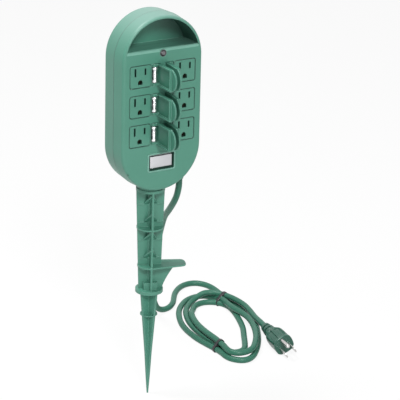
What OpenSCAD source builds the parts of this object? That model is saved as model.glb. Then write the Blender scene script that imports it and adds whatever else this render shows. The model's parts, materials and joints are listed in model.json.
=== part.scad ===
// Outdoor power stake: a six-outlet head with flip covers, standing on a ribbed post with a ground spike.
// Millimetres, +Z up. The origin is the tip of the spike, on the post's axis, and the head faces -Y.
// The cord leaves the head's lower right, comes down behind the post and lies on the ground in a hank.

/* [Head] */
// Width of the head
head_w = 104; // [101:0.5:108]
// Height between the centres of the head's two round ends
head_span = 103.5; // [100:0.5:110]
// Distance from the post's axis forward to the face
face_front = 23.6; // [22.5:0.1:26]
// Depth of the front shell
front_depth = 19; // [17.5:0.5:21]
// Depth of the rear shell
rear_depth = 24; // [23:0.5:28]
// Wall of both shells
wall = 2.4; // [2:0.1:2.8]
// Draft of each shell's side, from the parting line to its outer edge
draft = 1.2; // [0.6:0.1:1.5]
// Rounding of the front and back edges
edge_r = 3.5; // [2:0.5:4.5]

/* [Hood recess] */
// Inner radius of the hood's arch at the face
hood_r = 47.4; // [46:0.2:48]
// Depth of the recess under the hood
hood_depth = 30; // [26:0.5:32]
// How much the arch's radius shrinks from the face to the recess's back wall
hood_draft = 1.8; // [1:0.1:2.4]
// Height of the recess floor above the upper round end's centre
shelf_rise = 13.6; // [13:0.2:16]
// Rounding between the face and the recess floor
shelf_r = 4; // [3:0.5:5]
// Wall of the recess where it stands inside the rear shell
pocket_wall = 1.8; // [1.4:0.1:2]

/* [Outlets] */
// Sideways distance from the middle to each column of outlets
column_x = 28.5; // [28:0.1:29.2]
// Height between rows
row_pitch = 34.6; // [34:0.2:36]
// How far the middle row's slots lie above the middle of the head's span
row_rise = 6.45; // [5:0.05:8]
// How far the outlet frame's middle lies below its slots
frame_drop = 5.2; // [5:0.1:5.6]
// Height of an outlet frame
frame_h = 25.8; // [25:0.2:26.6]
// Corner radius of an outlet frame
frame_r = 2.5; // [1.5:0.5:3.5]
// Groove between an outlet face and its frame
frame_gap = 0.6; // [0.3:0.1:0.8]
// Thickness of an outlet face
outlet_t = 4; // [3.8:0.1:4.4]
// Sideways distance between the two blade slots
slot_pitch = 12.7; // [12.6:0.1:12.8]
// Drop from the blade slots to the ground hole
ground_drop = 11.9; // [11.8:0.1:12]
// Width of a blade slot
slot_w = 2.4; // [2:0.1:2.8]
// Height of the hot slot
hot_h = 7.6; // [7.2:0.1:8]
// Height of the neutral slot
neutral_h = 9.4; // [8.8:0.1:9.8]
// Width of the ground hole
ground_w = 5.8; // [5.2:0.1:6.2]

/* [Flip covers] */
// Sideways distance from the middle to a hinge pin
hinge_x = 10.2; // [10.1:0.1:10.6]
// Depth of a hinge pin's axis behind the face
pin_back = 2; // [2:0.1:2.3]
// Radius of a hinge pin
pin_r = 1.2; // [1:0.1:1.3]
// How far a pin's end reaches into the shell beyond the hinge pocket
pin_hold = 2; // [1.5:0.1:2.5]
// Distance from the pin's axis to the cover's outer face
lid_out = 6.6; // [6.3:0.1:6.7]
// Thickness of the cover's plate and skirt
lid_t = 1.6; // [1.2:0.1:1.8]
// Length from the pin's axis to the end of the skirt
lid_len = 31.2; // [30.6:0.2:31.8]
// Length of the finger tab beyond the skirt
tab_len = 8.8; // [7:0.2:9.4]
// Radius of a hinge lug
lug_r = 3.4; // [2.8:0.1:3.4]
// Thickness of a hinge lug
lug_t = 3; // [2:0.2:3.4]
// Opening angle at which the left covers stand
open_left = 90; // [60:1:94]
// Opening angle at which the right covers stand
open_right = 94; // [60:1:94]

/* [Cover springs] */
// Wire of a cover spring
spring_wire = 1.1; // [0.9:0.1:1.2]
// Outer radius of the end coils
spring_end_r = 3.4; // [3:0.1:3.6]
// Outer radius of the coils at the waists
spring_waist_r = 2.5; // [2.4:0.1:2.8]
// Outer radius of the coils in the middle
spring_mid_r = 3; // [2.7:0.1:3.2]
// Number of coils
spring_coils = 17; // [14:1:17]

/* [Push button] */
// Height of the button's middle below the lower round end's centre
button_drop = 15.9; // [14:0.1:18]
// Width of the button well
well_w = 32.6; // [31:0.2:34]
// Height of the button well
well_h = 19; // [18:0.2:20]
// Width of the raised rim around the well
rim_w = 1.6; // [1.2:0.1:2]
// Height of the rim above the face
rim_rise = 0.8; // [0.5:0.1:1.2]
// Depth from the face to the button's front
button_sunk = 4.4; // [3.8:0.1:4.6]
// Width of the button
button_w = 29.4; // [28:0.2:30]
// Height of the button
button_h = 14.4; // [13:0.2:15]
// Travel of the button
button_travel = 1.5; // [1:0.1:1.8]
// Radius of the button's stem
stem_r = 2.5; // [2:0.1:2.8]

/* [Light sensor] */
// Height of the sensor above the upper round end's centre
sensor_rise = 8; // [7:0.1:8.2]
// Radius of the sensor's lens
lens_r = 4.3; // [4:0.1:4.5]

/* [Post] */
// Length of the post from its flange up to its collar
post_h = 121.9; // [116:0.5:130]
// Radius of the post's round envelope under the collar
post_top_r = 16.6; // [15.6:0.1:16.8]
// Radius of the post's round envelope at the flange
post_low_r = 12.8; // [12:0.1:14]
// Thickness of the post's ribs
rib_t = 2.2; // [1.8:0.1:2.6]
// Radius of the core where the ribs cross
core_r = 3.2; // [2.4:0.1:4]
// Turn of the post on the head, seen from above
post_turn = -18; // [-35:1:20]
// Radius of the collar under the head
collar_r = 16.8; // [16.8:0.1:17.6]
// Thickness of the collar
collar_t = 3.4; // [2.8:0.1:4]
// Height of the lowest gusset above the flange
gusset_low = 38.7; // [36:0.1:42]
// Height between gussets
gusset_pitch = 22.2; // [20:0.1:24]
// Height of the round disc above the flange
disc_rise = 76.8; // [74:0.2:80]
// Thickness of the disc, the gussets and the pedal
disc_t = 1.8; // [1.4:0.1:2.2]

/* [Foot pedal] */
// Height of the pedal above the flange
pedal_rise = 29.3; // [26:0.1:32]
// Width of the pedal at its end
pedal_w = 19; // [16:0.5:24]
// Reach of the pedal from the post's axis
pedal_reach = 42.5; // [38:0.5:46]
// Reach of the web under the pedal
web_reach = 31; // [26:0.5:34]

/* [Spike] */
// Height of the spike, from its tip to the post's flange
spike_h = 131.7; // [120:0.5:150]
// Radius of the spike's envelope at the top
spike_top_r = 13; // [12:0.1:13.6]
// Radius of the spike's envelope where its taper changes
spike_mid_r = 5; // [4.4:0.1:5.6]
// Height at which the spike's taper changes
spike_mid_h = 54.6; // [48:0.2:60]
// Radius of the spike's blunt tip
spike_tip_r = 0.9; // [0.7:0.1:1.2]
// Thickness of the spike's blades
blade_t = 2.8; // [2.2:0.1:3.2]
// Turn of the blades from the post's ribs
blade_turn = 33; // [0:1:45]
// Radius of the flange between post and spike
flange_r = 16.2; // [15.5:0.1:17]
// Thickness of the flange
flange_t = 4; // [3.4:0.1:5]
// Width of the square boss above the flange
boss_w = 16; // [14.5:0.5:17]
// Height of the square boss above the flange
boss_h = 8.5; // [7:0.5:10]
// Width of the spike's square spigot inside the boss
spigot_w = 9; // [7:0.2:10]

/* [Neck] */
// Radius of the neck under the head
neck_r = 16; // [15.6:0.1:16.2]
// How far the neck stands below the head
neck_drop = 1.5; // [1:0.1:2.5]
// Radius of the post's round spigot inside the neck
swivel_r = 11; // [9:0.2:12]
// Height of the neck
neck_h = 13.2; // [12.6:0.2:15]

/* [Cord and plug] */
// Diameter of the cord
cord_d = 7.6; // [7:0.1:7.6]
// Height of the hank of cord on the ground
hank_h = 15.6; // [15.2:0.2:16.4]
// Length of the plug's body with its neck
plug_len = 58; // [54:0.5:60]
// Radius of the plug's body
plug_r = 12.7; // [12:0.1:13]
// Length of a plug blade
prong_len = 17.5; // [17:0.1:18.5]
// Thickness of a plug blade
prong_t = 1.5; // [1.4:0.1:1.6]
// Width of a plug blade
prong_w = 6.35; // [6.2:0.05:6.5]
// Radius of the plug's ground pin
ground_pin_r = 2.4; // [2.3:0.05:2.45]
// Length of the plug's ground pin
ground_pin_len = 21; // [20:0.5:22]

/* [Fits] */
// Gap between bodies that move past each other
run_gap = 0.3; // [0.2:0.05:0.4]
// Radial gap of a shaft in its hole
shaft_gap = 0.1; // [0.05:0.01:0.15]
// Radius of a housing screw's shank
screw_r = 1.5; // [1.2:0.1:1.7]
// Thickness of the circuit board
board_t = 1.6; // [1.2:0.1:2]
// Thickness of the bus bars
bus_t = 0.8; // [0.6:0.1:1]

/* [Hidden] */
$fn = 48;
far = 400;
eps = 0.01;
green = "#5f9c88";
dark_green = "#2f6f5a";
steel = "#d8d8dc";
brass = "#c9a24a";

// Heights, from the spike's tip upward
flange_z = spike_h + flange_t;
collar_z = flange_z + post_h;
neck_z = collar_z + collar_t + run_gap;
head_r = head_w / 2;
low_z = neck_z + neck_drop + head_r;
top_z = low_z + head_span;
shelf_z = top_z + shelf_rise;
sensor_z = top_z + sensor_rise;
button_z = low_z - button_drop;
frame_mid_z = low_z + head_span / 2 + row_rise - frame_drop;

// Depths, from the face backward
face_y = -face_front;
part_y = face_y + front_depth;
back_y = part_y + rear_depth;
hollow_r = head_r - wall - draft;
hollow_front = face_y + wall;
hollow_back = back_y - wall;
pin_y = face_y + pin_back;
lid_in = lid_out - lid_t;
lid_edge = pin_back + run_gap;
lid_h = frame_h - frame_gap;
hinge_floor = pin_y + lid_out + run_gap;
hinge_side = hinge_x + lug_r + run_gap + 0.1;
hinge_mid = hinge_x - lid_out - run_gap - 0.1;
pocket_skin = 1.2;
pin_seat = pin_hold + run_gap + 1;
window_in = hinge_side + pocket_skin;
window_out = hinge_x + lid_len + 0.4;
carrier_front = face_y + outlet_t + 0.6;
carrier_t = 4.9;
board_y = 2;

// Order of the outlets: left column from the top down, then right column
SIDES = [-1, -1, -1, 1, 1, 1];
function side_of(i) = SIDES[i - 1];
function row_of(i) = 1 - (i - 1) % 3;
function frame_z(i) = frame_mid_z + row_of(i) * row_pitch;
function slot_z(i) = frame_z(i) + frame_drop;
function opening_of(i) = side_of(i) < 0 ? open_left : open_right;

// ---- Outlines and helpers ----

function rounded(x0, x1, y0, y1, r) = [
  for (c = [[x1 - r, y1 - r, 0], [x0 + r, y1 - r, 90], [x0 + r, y0 + r, 180], [x1 - r, y0 + r, 270]])
    for (a = [0 : 15 : 90]) [c[0] + r * cos(c[2] + a), c[1] + r * sin(c[2] + a)]
];

// A plate facing -Y, from y0 to y1, with its outline drawn in X and Z
module upright(y0, y1) {
  translate([0, y1, 0]) rotate([90, 0, 0]) linear_extrude(y1 - y0) children();
}

module box(x, y, z) {
  translate([x[0], y[0], z[0]]) cube([x[1] - x[0], y[1] - y[0], z[1] - z[0]]);
}

module rod_y(x, z, y0, y1, r) {
  translate([x, y0, z]) rotate([-90, 0, 0]) cylinder(h = y1 - y0, r = r);
}

// Half section of a round end: radius across, depth up, the first edge rounded
module end_section(r, depth, slope, edge) {
  polygon([[0, edge], [r - slope, edge], [r, depth], [0, depth]]);
  square([r - slope - edge, depth]);
  if (edge > 0) translate([r - slope - edge, edge]) circle(edge);
}

// Head-shaped solid that starts at y = 0 and reaches depth along +Y
module head_form(r, depth, slope = 0, edge = 0) {
  for (end = [[low_z, 1], [top_z, 0]])
    translate([0, 0, end[0]]) mirror([0, 0, end[1]])
      difference() {
        rotate([-90, 0, 0]) rotate_extrude() end_section(r, depth, slope, edge);
        translate([-far, -far, -2 * far]) cube(2 * far);
      }
  translate([0, 0, low_z]) linear_extrude(top_z - low_z)
    for (m = [0, 1]) mirror([m, 0]) end_section(r, depth, slope, edge);
}

module below(z) {
  intersection() {
    children();
    translate([-far, -far, z - 2 * far]) cube(2 * far);
  }
}

// ---- Housing ----

// Air under the hood: an arch with a flat floor whose front edge is rounded
module recess() {
  intersection() {
    translate([0, face_y, top_z]) rotate([-90, 0, 0])
      cylinder(h = hood_depth, r1 = hood_r, r2 = hood_r - hood_draft);
    union() {
      translate([-far, -far, shelf_z]) cube(2 * far);
      difference() {
        box([-far, far], [face_y - 1, face_y + shelf_r], [shelf_z - shelf_r, shelf_z + 1]);
        translate([-far, face_y + shelf_r, shelf_z - shelf_r]) rotate([0, 90, 0])
          cylinder(h = 2 * far, r = shelf_r);
      }
    }
  }
}

module recess_wall() {
  intersection() {
    translate([0, part_y - 1, top_z]) rotate([-90, 0, 0])
      cylinder(h = face_y + hood_depth + pocket_wall - part_y + 1,
               r = hollow_r - run_gap);
    translate([-far, -far, shelf_z - wall]) cube(2 * far);
  }
}

screw_places = [
  [-40, top_z + 4.5], [40, top_z + 4.5],
  [-45.8, frame_mid_z - row_pitch / 2], [45.8, frame_mid_z - row_pitch / 2],
  [-29, low_z - 30], [29, low_z - 30]
];
boss_r = screw_r + 1.6;
sink_depth = 6;
sink_r = 2 * screw_r + run_gap;
head_t = 2;

module screw_posts(y0, y1, r) {
  for (p = screw_places) rod_y(p[0], p[1], y0, y1, r);
}

module outlet_window(i) {
  s = side_of(i);
  mirror([s < 0 ? 1 : 0, 0, 0])
    upright(face_y - 1, hollow_front + 1)
      polygon(rounded(window_in, window_out, frame_z(i) - frame_h / 2, frame_z(i) + frame_h / 2, frame_r));
}

module hinge_pocket(i, skin, rise) {
  s = side_of(i);
  x0 = hinge_mid - skin;
  x1 = hinge_side + skin;
  z = frame_h / 2 + rise;
  mirror([s < 0 ? 1 : 0, 0, 0])
    box([x0, x1], [face_y + (skin > 0 ? eps : -1), hinge_floor + skin], [frame_z(i) - z, frame_z(i) + z]);
}

module well(grow, y0, y1) {
  upright(y0, y1)
    polygon(rounded(-well_w / 2 - grow, well_w / 2 + grow,
                    button_z - well_h / 2 - grow, button_z + well_h / 2 + grow, 1.4 + grow));
}

module neck_hole() {
  translate([0, 0, neck_z - 5]) cylinder(h = neck_h + 10, r = neck_r + shaft_gap);
}

well_floor = face_y + button_sunk + 0.4;
cap_flange_y = well_floor + wall / 2 + run_gap;

module front_shell() color(green) difference() {
  union() {
    difference() {
      translate([0, face_y, 0]) head_form(head_r, front_depth, draft, edge_r);
      below(shelf_z - wall) translate([0, hollow_front, 0]) head_form(hollow_r, front_depth);
    }
    recess_wall();
    for (i = [1 : 6]) hinge_pocket(i, pocket_skin, pin_seat);
    well(rim_w, face_y - rim_rise, well_floor + wall / 2);
    rod_y(0, sensor_z, hollow_front - 1, face_y + 5, lens_r + 1.6);
    intersection() {
      screw_posts(hollow_front - 1, part_y, boss_r);
      translate([0, face_y + 0.5, 0]) head_form(head_r - draft - 0.5, front_depth);
    }
  }
  recess();
  for (i = [1 : 6]) {
    outlet_window(i);
    hinge_pocket(i, 0, 0);
    translate([side_of(i) * hinge_x, pin_y, frame_z(i) - frame_h / 2 - pin_hold - run_gap])
      cylinder(h = frame_h + 2 * (pin_hold + run_gap), r = pin_r + shaft_gap / 2);
  }
  well(0, face_y - rim_rise - 1, well_floor);
  upright(face_y, part_y) polygon(rounded(-button_w / 2 - run_gap, button_w / 2 + run_gap,
    button_z - button_h / 2 - run_gap, button_z + button_h / 2 + run_gap, 1));
  rod_y(0, sensor_z, face_y - 1, face_y + 6, lens_r + shaft_gap);
  screw_posts(face_y + 5, part_y + 1, screw_r + shaft_gap);
  neck_hole();
}

gland_side = 9.5;
gland_x = head_r - gland_side;
gland_y = 8;
gland_low = low_z - 37.8;
gland_r = 5.6;
gland_h = 24;

module rear_shell() color(green) difference() {
  union() {
    difference() {
      translate([0, back_y, 0]) mirror([0, 1, 0]) head_form(head_r, rear_depth, draft, edge_r);
      translate([0, part_y - 1, 0]) head_form(hollow_r, hollow_back - part_y + 1);
    }
    screw_posts(part_y, hollow_back + 1, boss_r);
    intersection() {
      screw_posts(back_y - sink_depth - wall, hollow_back + 1, sink_r + wall / 2);
      translate([0, part_y - 1, 0]) head_form(hollow_r + 1, rear_depth);
    }
    for (p = board_places) rod_y(p[0], p[1], board_y + board_t, hollow_back + 1, board_boss_r);
    translate([gland_x, gland_y, gland_low]) cylinder(h = gland_h, r = gland_r + 2.2);
  }
  translate([0, part_y - 1, 0]) difference() {
    head_form(hollow_r + 2.2, 2.4);
    head_form(hollow_r + 0.8, 2.4);
  }
  screw_posts(part_y - 1, back_y + 1, screw_r + shaft_gap);
  screw_posts(back_y - sink_depth, back_y + 1, sink_r);
  for (p = board_places) rod_y(p[0], p[1], board_y - 1, hollow_back - 3, 1.1);
  translate([gland_x, gland_y, gland_low - 1]) cylinder(h = gland_h + 2, r = gland_r + shaft_gap);
  translate([gland_x, gland_y, gland_low + gland_h]) cylinder(h = 3, r = gland_r + 1.2 + run_gap);
  neck_hole();
}

module housing_gasket() color("#222222") difference() {
  translate([0, part_y + 0.05, 0]) head_form(hollow_r + 2, 1.25);
  translate([0, part_y - 1, 0]) head_form(hollow_r + 1, 3.25);
  neck_hole();
}

module housing_screws() color(steel)
  for (p = screw_places) difference() {
    union() {
      rod_y(p[0], p[1], face_y + 6.5, back_y - sink_depth + 1, screw_r);
      rod_y(p[0], p[1], back_y - sink_depth, back_y - sink_depth + head_t, 2 * screw_r);
    }
    for (a = [0, 90]) translate([p[0], back_y - sink_depth + head_t, p[1]]) rotate([0, a, 0])
      cube([0.8, 1.6, 3.4], center = true);
  }

// ---- Outlets ----

module outlet_face(i) {
  s = side_of(i);
  x = s * column_x;
  front = face_y + 0.2;
  color(green) difference() {
    union() {
      mirror([s < 0 ? 1 : 0, 0, 0]) upright(front, face_y + outlet_t)
        polygon(rounded(window_in + 0.2, window_out - frame_gap, frame_z(i) - lid_h / 2 + 0.3,
                        frame_z(i) + lid_h / 2 - 0.3, frame_r - 0.5));
      mirror([s < 0 ? 1 : 0, 0, 0]) upright(hollow_front + run_gap, face_y + outlet_t)
        polygon(rounded(window_in + 0.4, window_out + 0.8, frame_z(i) - frame_h / 2 - 1,
                        frame_z(i) + frame_h / 2 + 1, 1));
    }
    for (slot = [[-slot_pitch / 2, neutral_h], [slot_pitch / 2, hot_h]])
      box([x + slot[0] - slot_w / 2, x + slot[0] + slot_w / 2], [front - 1, face_y + outlet_t + 1],
          [slot_z(i) - slot[1] / 2, slot_z(i) + slot[1] / 2]);
    ground_hole(x, slot_z(i) - ground_drop, front - 1, face_y + outlet_t + 1);
  }
}

// Domed at the top and flat at the bottom
module ground_hole(x, z, y0, y1) {
  upright(y0, y1) polygon(concat(
    [[x - ground_w / 2, z - ground_w / 2 + 0.3], [x + ground_w / 2, z - ground_w / 2 + 0.3]],
    [for (a = [0 : 15 : 180]) [x + ground_w / 2 * cos(a), z + ground_w / 2 * sin(a)]]));
}

module contact_carrier(s) {
  x = s * column_x;
  z0 = frame_z(3) - frame_h / 2;
  z1 = frame_z(1) + frame_h / 2;
  color("#2b2b2e") difference() {
    box([x - 11.5, x + 11.5], [carrier_front, carrier_front + carrier_t], [z0, z1]);
    for (i = [1 : 3]) {
      for (dx = [-slot_pitch / 2, slot_pitch / 2])
        box([x + dx - 2.6, x + dx + 2.6], [carrier_front - 1, carrier_front + carrier_t + 1],
            [slot_z(i) - 4, slot_z(i) + 4]);
      box([x - 3.4, x + 3.4], [carrier_front - 1, carrier_front + carrier_t + 1],
          [slot_z(i) - ground_drop - 3.4, slot_z(i) - ground_drop + 3.4]);
    }
  }
}

// A pair of upright bars with three spring contacts each, joined by a crossbar
module bus(dx, dz, y, grip, leaf, cross_z) {
  z0 = min(cross_z, frame_z(3) - 8);
  z1 = max(cross_z + 4, frame_z(1) + 11);
  for (s = [-1, 1]) {
    x = s * column_x + dx;
    box([x - 2.3, x + 2.3], [y, y + bus_t], [z0, z1]);
    for (i = [1 : 3], side = [-1, 1])
      box([x + side * grip - bus_t / 2, x + side * grip + bus_t / 2], [carrier_front + 0.3, y + bus_t],
          [slot_z(i) + dz - leaf / 2, slot_z(i) + dz + leaf / 2]);
  }
  box([dx - column_x, dx + column_x], [y, y + bus_t], [cross_z, cross_z + 4]);
}

carrier_back = carrier_front + carrier_t;

bar_low = frame_z(3) - frame_h / 2;

module neutral_bus() color(brass) bus(-slot_pitch / 2, 0, carrier_back + run_gap, 1.7, 6.4, bar_low - 13);
module hot_bus() color(brass) bus(slot_pitch / 2, 0, carrier_back + 2.6, 1.7, 6.4, bar_low - 8.2);
// The ground bus crosses over under the recess floor
bus_clear = 9;
module ground_bus() color(brass)
  bus(0, -ground_drop, carrier_back + 4.9, 1.9, 4.6, shelf_z - wall - bus_clear - 4);

// ---- Flip covers, drawn closed on the right-hand side with the pin at the origin ----

module quarter(r, h) {
  intersection() {
    cylinder(h = h, r = r);
    translate([-2 * r, -2 * r, -1]) cube([2 * r, 2 * r, h + 2]);
  }
}

module lid_shape() {
  tab_half = lid_h / 2 - 0.6;
  tab_r = (pow(tab_half, 2) + pow(tab_len, 2)) / (2 * tab_len);
  skirt = lid_out - lid_edge;
  translate([0, 0, -lid_h / 2]) difference() {
    union() {
      translate([0, -lid_out, 0]) cube([lid_len, lid_t, lid_h]);
      for (z = [0, lid_h - lid_t]) translate([0, -lid_out, z]) cube([lid_len, skirt, lid_t]);
      translate([lid_len - lid_t, -lid_out, 0]) cube([lid_t, skirt, lid_h]);
      intersection() {
        translate([lid_len + tab_len - tab_r, -lid_out, lid_h / 2]) rotate([-90, 0, 0])
          cylinder(h = lid_t, r = tab_r);
        translate([lid_len - lid_t / 2, -lid_out - 1, -1]) cube([tab_len + 2, lid_t + 2, lid_h + 2]);
      }
      difference() {
        quarter(lid_out, lid_h);
        translate([0, 0, -1]) cylinder(h = lid_h + 2, r = lid_in);
      }
      for (z = [0, lid_h - lug_t]) translate([0, 0, z]) {
        quarter(lid_out, lug_t);
        cylinder(h = lug_t, r = lug_r);
        translate([-eps, -lid_out, 0]) cube([lug_r, lid_out, lug_t]);
      }
    }
    translate([0, 0, -1]) cylinder(h = lid_h + 2, r = pin_r + shaft_gap);
  }
}

module at_hinge(i) {
  s = side_of(i);
  translate([s * hinge_x, pin_y, frame_z(i)]) mirror([s < 0 ? 1 : 0, 0, 0]) children();
}

module lid(i) color(green) at_hinge(i) rotate([0, 0, -opening_of(i)]) lid_shape();

module hinge_pin(i) color(steel) at_hinge(i)
  translate([0, 0, -frame_h / 2 - pin_hold]) cylinder(h = frame_h + 2 * pin_hold, r = pin_r);

// Coil radius along the spring: wide ends, two waists and a wider middle
function coil_r(t) = abs(t) > 0.5
  ? spring_waist_r + (spring_end_r - spring_waist_r) * pow((abs(t) - 0.5) * 2, 2)
  : spring_mid_r - (spring_mid_r - spring_waist_r) * pow(abs(t) * 2, 2);
coil_step = spring_wire * 0.86;

module lid_spring(i) color(steel) at_hinge(i) {
  rotate_extrude() for (k = [0 : spring_coils - 1]) {
    t = 2 * k / (spring_coils - 1) - 1;
    translate([coil_r(t) - spring_wire / 2, t * coil_step * (spring_coils - 1) / 2]) circle(d = spring_wire);
  }
  translate([spring_mid_r - spring_wire / 2, 0, 0]) rotate([-90, 0, 0])
    cylinder(h = hinge_floor - pin_y - run_gap, d = spring_wire);
}

// ---- Push button ----

stem_end = board_y - 4.2 - button_travel - 0.3;

module button_cap() color(steel) union() {
  upright(face_y + button_sunk, cap_flange_y + 0.1)
    polygon(rounded(-button_w / 2, button_w / 2, button_z - button_h / 2, button_z + button_h / 2, 0.8));
  upright(cap_flange_y, cap_flange_y + 1.4)
    polygon(rounded(-button_w / 2 - 1.2, button_w / 2 + 1.2, button_z - button_h / 2 - 1.2,
                    button_z + button_h / 2 + 1.2, 0.8));
  rod_y(0, button_z, cap_flange_y, stem_end, stem_r);
}

module button_spring() color(steel) {
  y0 = cap_flange_y + 1.4 + 0.1;
  y1 = board_y - 4.2 - 0.1;
  coils = 7;
  wire = 0.7;
  r = stem_r + 0.4 + wire / 2;
  for (k = [0 : coils - 1])
    translate([0, y0 + wire / 2 + k * (y1 - y0 - wire) / (coils - 1), button_z]) rotate([-90, 0, 0])
      rotate_extrude() translate([r, 0]) circle(d = wire);
  rod_y(r, button_z, y0 + wire / 2, y1 - wire / 2, 0.25);
}

module button_switch() color("#2b2b2e") union() {
  box([-6, 6], [board_y - 4.2, board_y], [button_z - 6, button_z + 6]);
  for (x = [-4, 4]) rod_y(x, button_z, board_y - 1, board_y + board_t + 1.2, 0.5);
}

// ---- Electronics ----

board_w = 68;
board_low = button_z - 8;
board_top = shelf_z - wall - 1.2;
board_boss_r = 3;
terminal_out = 24;
terminal_z = frame_mid_z - 39;
board_places = [[-27, board_low + 9], [27, board_low + 9], [-27, board_top - 8], [27, board_top - 8]];

module circuit_board() color("#2f6b3a") difference() {
  box([-board_w / 2, board_w / 2], [board_y, board_y + board_t], [board_low, board_top]);
  for (p = board_places) rod_y(p[0], p[1], board_y - 1, board_y + board_t + 1, 1.3);
  for (x = [-4, 4]) rod_y(x, button_z, board_y - 1, board_y + board_t + 1, 0.6);
}

module board_screws() color(steel) for (p = board_places) {
  rod_y(p[0], p[1], board_y - 1.6, board_y, 2.4);
  rod_y(p[0], p[1], board_y - 0.5, hollow_back - 5, 1);
}

module relay() color("#3a5fa8")
  box([-2, 18], [board_y + board_t, board_y + board_t + 12.4], [frame_mid_z - 8, frame_mid_z + 8]);

module board_parts() {
  color("#1f1f22") rod_y(-15, frame_mid_z + 6, board_y + board_t, board_y + board_t + 11, 5);
  y = [board_y + board_t, board_y + board_t + 9];
  color("#a8432f") box([-24, -6], y, [frame_mid_z - 24, frame_mid_z - 14]);
  color("#3d7a4a") box([4, terminal_out], y, [terminal_z - 5, terminal_z + 5]);
}

module sensor_lens() color("#4a4650") union() {
  rod_y(0, sensor_z, face_y - 0.1, face_y + 4.6, lens_r);
  intersection() {
    translate([0, face_y + lens_r * 1.5, sensor_z]) sphere(r = lens_r * 1.72);
    rod_y(0, sensor_z, face_y - 2, face_y + 1, lens_r - 0.5);
  }
}

module photocell() color("#b9a9b4") union() {
  rod_y(0, sensor_z, face_y + 4.9, face_y + 7, 2.6);
  for (x = [-1.3, 1.3]) rod_y(x, sensor_z, face_y + 6.5, board_y, 0.3);
}

lead_r = 1;

// A stiff wire through a list of points
module wire(points, r) {
  for (i = [0 : len(points) - 2]) {
    d = points[i + 1] - points[i];
    translate(points[i]) rotate([0, acos(d[2] / norm(d)), atan2(d[1], d[0])]) cylinder(h = norm(d), r = r);
  }
  for (i = [1 : len(points) - 2]) translate(points[i]) sphere(r = r);
}

// Ground, hot and neutral, from the strain relief to the ground bus, the terminal block and the neutral bus
module inner_leads() {
  z0 = gland_low + gland_h + run_gap + 2;
  ground_y = carrier_back + 4.9 + bus_t + lead_r;
  neutral_y = carrier_back + run_gap + bus_t + lead_r;
  neutral_z = bar_low - 11;
  color("#3f8f4f") wire([[gland_x + 2.5, gland_y, z0], [gland_x + 2.5, gland_y, frame_z(3) - 4],
    [gland_x + 2.5, ground_y, frame_z(3) - 4], [column_x, ground_y, frame_z(3) - 4]], lead_r);
  color("#1f1f22") wire([[gland_x - 1, gland_y + 2.4, z0], [gland_x - 1, gland_y + 2.4, terminal_z],
    [terminal_out, gland_y + 2.4, terminal_z]], lead_r);
  color("#e6e6e2") wire([[gland_x - 1, gland_y - 2.4, z0], [gland_x - 1, gland_y - 2.4, neutral_z],
    [gland_x - 1, neutral_y, neutral_z], [column_x - slot_pitch / 2, neutral_y, neutral_z]], lead_r);
}

// ---- Neck, post and spike ----

swivel_top = neck_z + neck_h + run_gap + 2.4;

module post_socket() color(green) difference() {
  union() {
    translate([0, 0, neck_z]) cylinder(h = neck_h, r = neck_r);
    box([-20, 20], [-14, 14], [neck_z + neck_h - 3.2, neck_z + neck_h]);
  }
  translate([0, 0, neck_z - 1]) cylinder(h = neck_h + 2, r = swivel_r + shaft_gap);
}

module post_retainer() color(steel) difference() {
  translate([0, 0, neck_z + neck_h + run_gap]) cylinder(h = 2, r = swivel_r + 3);
  translate([0, 0, neck_z + neck_h]) cylinder(h = 6, r = swivel_r - 1.5 + 0.02);
}

module turned() {
  rotate([0, 0, post_turn]) children();
}

module post_envelope() {
  translate([0, 0, flange_z]) cylinder(h = post_h, r1 = post_low_r, r2 = post_top_r);
}

// How far the round discs stand proud of the ribs
disc_lip = 0.5;

// A ledge along the wings, and a web on each side that slopes up at 45 degrees to the front and back ribs
module gusset() {
  inner = 8;
  t = disc_t * 0.8;
  for (m = [0, 1], n = [0, 1]) mirror([m, 0, 0]) mirror([0, n, 0]) {
    box([inner - 1, far], [-rib_t / 2 - 0.8, 0], [-t, 0]);
    intersection() {
      rotate([-45, 0, 0]) box([0, inner], [-far, 0], [-t, 0]);
      translate([0, 0, -far]) linear_extrude(2 * far)
        polygon([[0, 0], [inner, 0], [inner, -rib_t / 2], [rib_t / 2, -post_low_r - 1], [0, -post_low_r - 1]]);
    }
  }
}

module post() color(green) turned() difference() {
  union() {
    translate([0, 0, collar_z]) cylinder(h = collar_t, r = collar_r);
    translate([0, 0, collar_z]) cylinder(h = neck_z + neck_h + run_gap - collar_z, r = swivel_r);
    translate([0, 0, collar_z]) cylinder(h = swivel_top - collar_z, r = swivel_r - 1.5);
    translate([0, 0, flange_z]) cylinder(h = post_h, r = core_r);
    intersection() {
      post_envelope();
      union() {
        box([-far, far], [-rib_t / 2, rib_t / 2], [flange_z, collar_z]);
        box([-rib_t / 2, rib_t / 2], [-far, far], [flange_z, collar_z]);
        for (k = [0 : 3]) translate([0, 0, flange_z + gusset_low + k * gusset_pitch]) gusset();
      }
    }
    translate([0, 0, flange_z + disc_rise - disc_t])
      cylinder(h = disc_t, r = disc_lip + post_low_r + (post_top_r - post_low_r) * disc_rise / post_h);
    pedal();
    translate([0, 0, spike_h]) cylinder(h = flange_t, r = flange_r);
    translate([-boss_w / 2, -boss_w / 2, flange_z]) cube([boss_w, boss_w, boss_h]);
  }
  translate([-spigot_w / 2 - 0.15, -spigot_w / 2 - 0.15, spike_h - 1])
    cube([spigot_w + 0.3, spigot_w + 0.3, spigot_w + 1.3]);
}

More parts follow.
